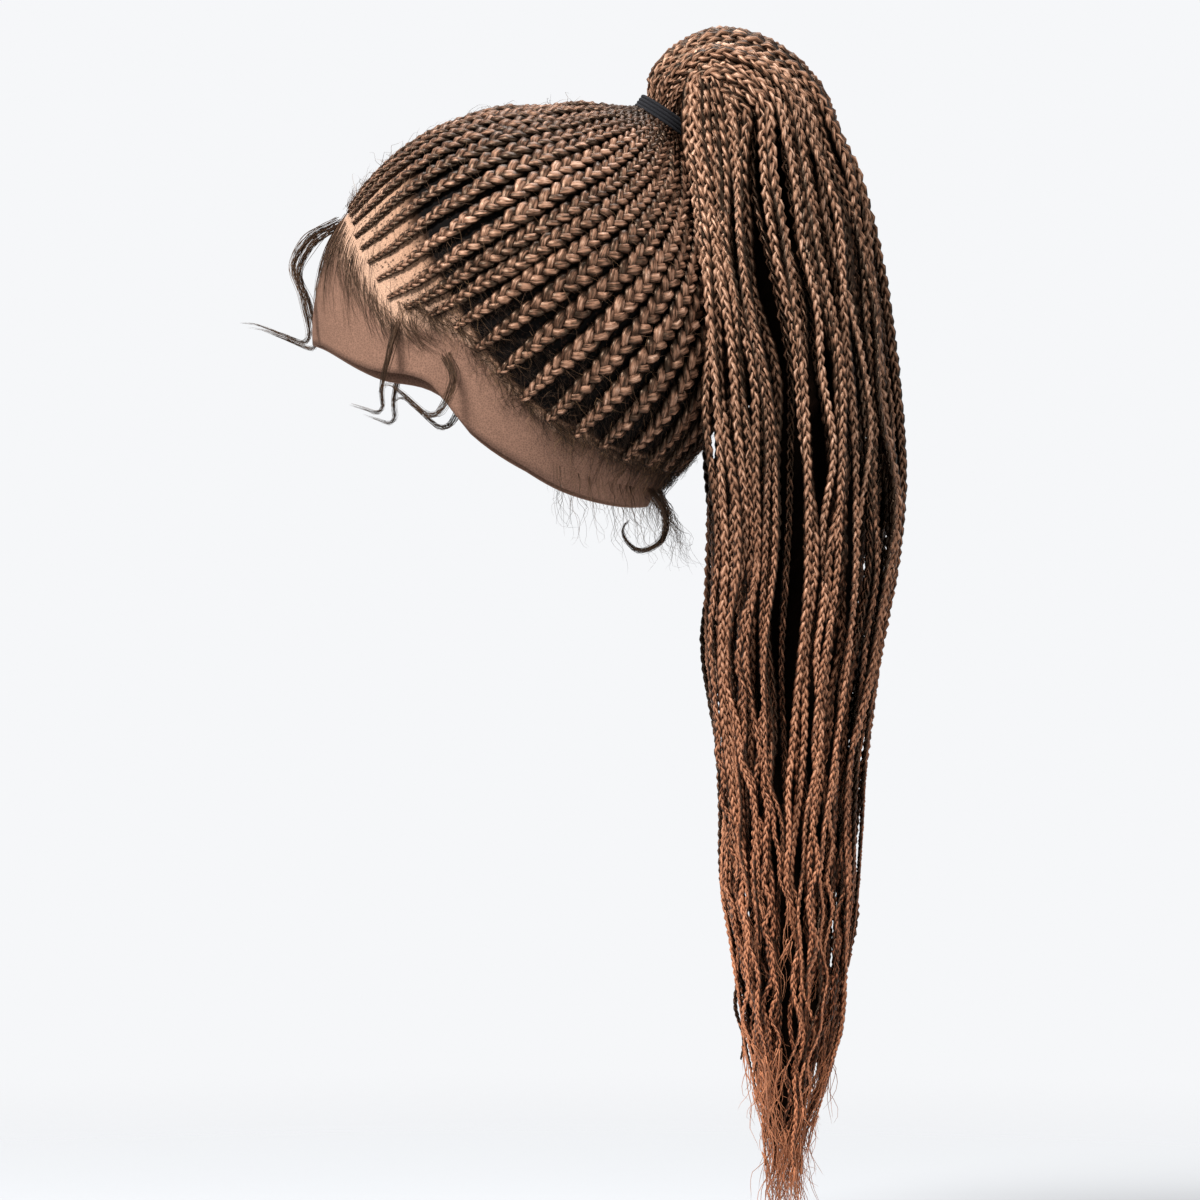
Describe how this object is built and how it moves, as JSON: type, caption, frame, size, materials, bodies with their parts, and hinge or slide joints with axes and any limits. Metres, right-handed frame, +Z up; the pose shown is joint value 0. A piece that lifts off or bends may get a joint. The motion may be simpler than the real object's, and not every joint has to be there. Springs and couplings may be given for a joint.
{
  "type": "braid wig",
  "caption": "Full-lace wig of fine rows braided back from the hairline into a high ponytail of long thin braids, held by a black elastic, with loose curled baby hair.",
  "frame": {"origin": "inside of the crown, where the cap sits on a head", "axes": "+Z up, -Y the way the wearer faces, +X the wearer's left"},
  "size_m": [0.163, 0.2992, 0.5421],
  "materials": {
    "lace": "fine skin-coloured lace with dark knots",
    "braid_hair": "dark brown synthetic hair, softly glossy",
    "ponytail_hair": "brown synthetic hair that turns auburn towards its ends, softly glossy",
    "elastic": "black covered elastic, matt",
    "baby_hair": "fine dark brown hair"
  },
  "bodies": {
    "root": {"lace_cap": "lace", "cornrow_front": "braid_hair", "cornrow_back": "braid_hair", "cornrow_left_01": "braid_hair", "cornrow_left_02": "braid_hair", "cornrow_left_03": "braid_hair", "cornrow_left_04": "braid_hair", "cornrow_left_05": "braid_hair", "cornrow_left_06": "braid_hair", "cornrow_left_07": "braid_hair", "cornrow_left_08": "braid_hair", "cornrow_left_09": "braid_hair", "cornrow_left_10": "braid_hair", "cornrow_left_11": "braid_hair", "cornrow_left_12": "braid_hair", "cornrow_left_13": "braid_hair", "cornrow_left_14": "braid_hair", "cornrow_left_15": "braid_hair", "cornrow_left_16": "braid_hair", "cornrow_left_17": "braid_hair", "cornrow_left_18": "braid_hair", "cornrow_left_19": "braid_hair", "cornrow_left_20": "braid_hair", "cornrow_left_21": "braid_hair", "cornrow_left_22": "braid_hair", "cornrow_right_01": "braid_hair", "cornrow_right_02": "braid_hair", "cornrow_right_03": "braid_hair", "cornrow_right_04": "braid_hair", "cornrow_right_05": "braid_hair", "cornrow_right_06": "braid_hair", "cornrow_right_07": "braid_hair", "cornrow_right_08": "braid_hair", "cornrow_right_09": "braid_hair", "cornrow_right_10": "braid_hair", "cornrow_right_11": "braid_hair", "cornrow_right_12": "braid_hair", "cornrow_right_13": "braid_hair", "cornrow_right_14": "braid_hair", "cornrow_right_15": "braid_hair", "cornrow_right_16": "braid_hair", "cornrow_right_17": "braid_hair", "cornrow_right_18": "braid_hair", "cornrow_right_19": "braid_hair", "cornrow_right_20": "braid_hair", "cornrow_right_21": "braid_hair", "cornrow_right_22": "braid_hair", "elastic_band": "elastic", "ponytail": "ponytail_hair", "baby_hair_front_left": "baby_hair", "baby_hair_front_right": "baby_hair", "baby_hair_temple_left": "baby_hair", "baby_hair_temple_right": "baby_hair", "baby_hair_sideburn_left": "baby_hair", "baby_hair_sideburn_right": "baby_hair", "baby_hair_nape_left": "baby_hair", "baby_hair_nape_right": "baby_hair"}
  },
  "joints": []
}
